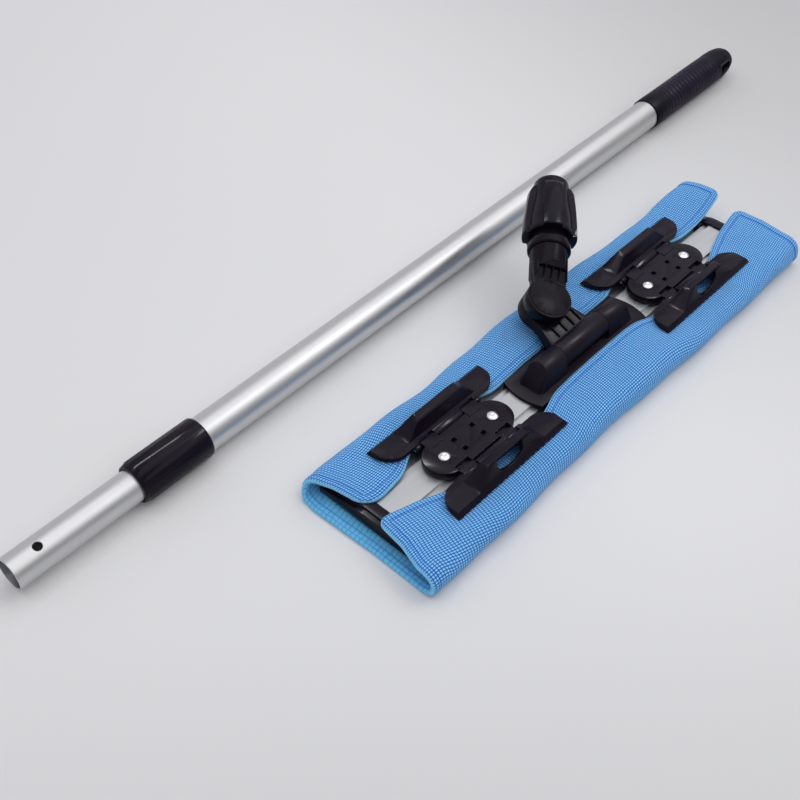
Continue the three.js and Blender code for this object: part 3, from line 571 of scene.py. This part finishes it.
def soften(node, width):
    """Rounds the sharp edges a little and shades the curved faces smoothly."""
    node.data.polygons.foreach_set("use_smooth", [True] * len(node.data.polygons))
    weld = node.modifiers.new("weld", "WELD")
    weld.merge_threshold = WELD_DISTANCE
    if not width:
        split = node.modifiers.new("split", "EDGE_SPLIT")
        split.split_angle = SHARP_ANGLE
        return
    bevel = node.modifiers.new("bevel", "BEVEL")
    bevel.width = width / 1000
    bevel.segments = 2
    bevel.limit_method = "ANGLE"
    bevel.angle_limit = SHARP_ANGLE
    bevel.harden_normals = True


# ---- Floor, light and camera -------------------------------------------------------------

# Metres, in the part's frame.
FLOOR_HALF = 4
HEAD_MIDDLE = (0, 0.05, 0)
CAMERA_PLACE = (-0.56715, -0.32305, 0.63127)
CAMERA_RIGHT = (0.6758, -0.7369, 0.0176)
CAMERA_AHEAD = (0.5166, 0.4564, -0.7245)
# Millimetres.
CAMERA_LENS = 51.43
CAMERA_SENSOR = 36


def make_floor():
    mesh = bpy.data.meshes.new("floor")
    corners = [(x * FLOOR_HALF, y * FLOOR_HALF, 0) for x, y in ((-1, -1), (1, -1), (1, 1), (-1, 1))]
    mesh.from_pydata(corners, [], [(0, 1, 2, 3)])
    floor = bpy.data.objects.new("floor", mesh)
    bpy.context.scene.collection.objects.link(floor)
    mesh.materials.append(floor_material("floor"))


def area_light(name, place, target, size, power, colour=(1, 1, 1)):
    """A rectangle of light with its power in watts."""
    data = bpy.data.lights.new(name, "AREA")
    data.shape = "RECTANGLE"
    data.size, data.size_y = size
    data.energy = power
    data.color = colour
    light = bpy.data.objects.new(name, data)
    bpy.context.scene.collection.objects.link(light)
    light.location = place
    direction = Vector(target) - Vector(place)
    light.rotation_euler = direction.to_track_quat("-Z", "Y").to_euler()
    return light


def make_lights():
    area_light("ceiling", place=(1.1, -0.75, 2.2), target=(1.1, -0.75, 0), size=(4.6, 4.1), power=52,
               colour=(0.985, 0.985, 1.0))
    area_light("key", place=(1.15, -0.7, 2.0), target=HEAD_MIDDLE, size=(0.7, 0.7), power=4.4,
               colour=(1.0, 1.0, 0.97))
    glints = [
        area_light("glint_right", place=(1.1, -0.5, 1.9), target=HEAD_MIDDLE, size=(0.3, 0.3), power=22),
        area_light("glint_left", place=(-0.1, 1.0, 1.9), target=HEAD_MIDDLE, size=(0.3, 0.3), power=22),
    ]
    # The glints light the black plastics only, without the neck, whose flat disc would mirror them.
    plastics = bpy.data.collections.new("plastics")
    for name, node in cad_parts.items():
        if name.startswith(BLACK_NODES) and name != "neck":
            plastics.objects.link(node)
    for glint in glints:
        glint.light_linking.receiver_collection = plastics


def make_world():
    """Soft light from all round, stronger from the side of the pole."""
    world = bpy.data.worlds.new("studio")
    bpy.context.scene.world = world
    world.use_nodes = True
    nodes, links = world.node_tree.nodes, world.node_tree.links
    background = nodes["Background"]
    split = nodes.new("ShaderNodeSeparateXYZ")
    links.new(nodes.new("ShaderNodeTexCoord").outputs["Generated"], split.inputs["Vector"])
    side = nodes.new("ShaderNodeMapRange")
    links.new(split.outputs["Y"], side.inputs["Value"])
    for key, value in (("From Min", -0.5), ("From Max", 0.8), ("To Min", 0.36), ("To Max", 0.68)):
        side.inputs[key].default_value = value
    links.new(side.outputs["Result"], background.inputs["Strength"])
    background.inputs["Color"].default_value = (0.96, 0.96, 1.0, 1)


def make_camera():
    data = bpy.data.cameras.new("camera")
    data.lens = CAMERA_LENS
    data.sensor_width = CAMERA_SENSOR
    data.sensor_fit = "HORIZONTAL"
    camera = bpy.data.objects.new("camera", data)
    bpy.context.scene.collection.objects.link(camera)
    ahead = Vector(CAMERA_AHEAD).normalized()
    up = Vector(CAMERA_RIGHT).normalized().cross(ahead).normalized()
    right = ahead.cross(up).normalized()
    basis = Matrix((right, up, -ahead)).transposed().to_4x4()
    camera.matrix_world = Matrix.Translation(CAMERA_PLACE) @ basis
    bpy.context.scene.camera = camera


make_cloth()
finish_parts()
make_floor()
make_lights()
make_world()
make_camera()
bpy.context.scene.view_settings.view_transform = "Standard"
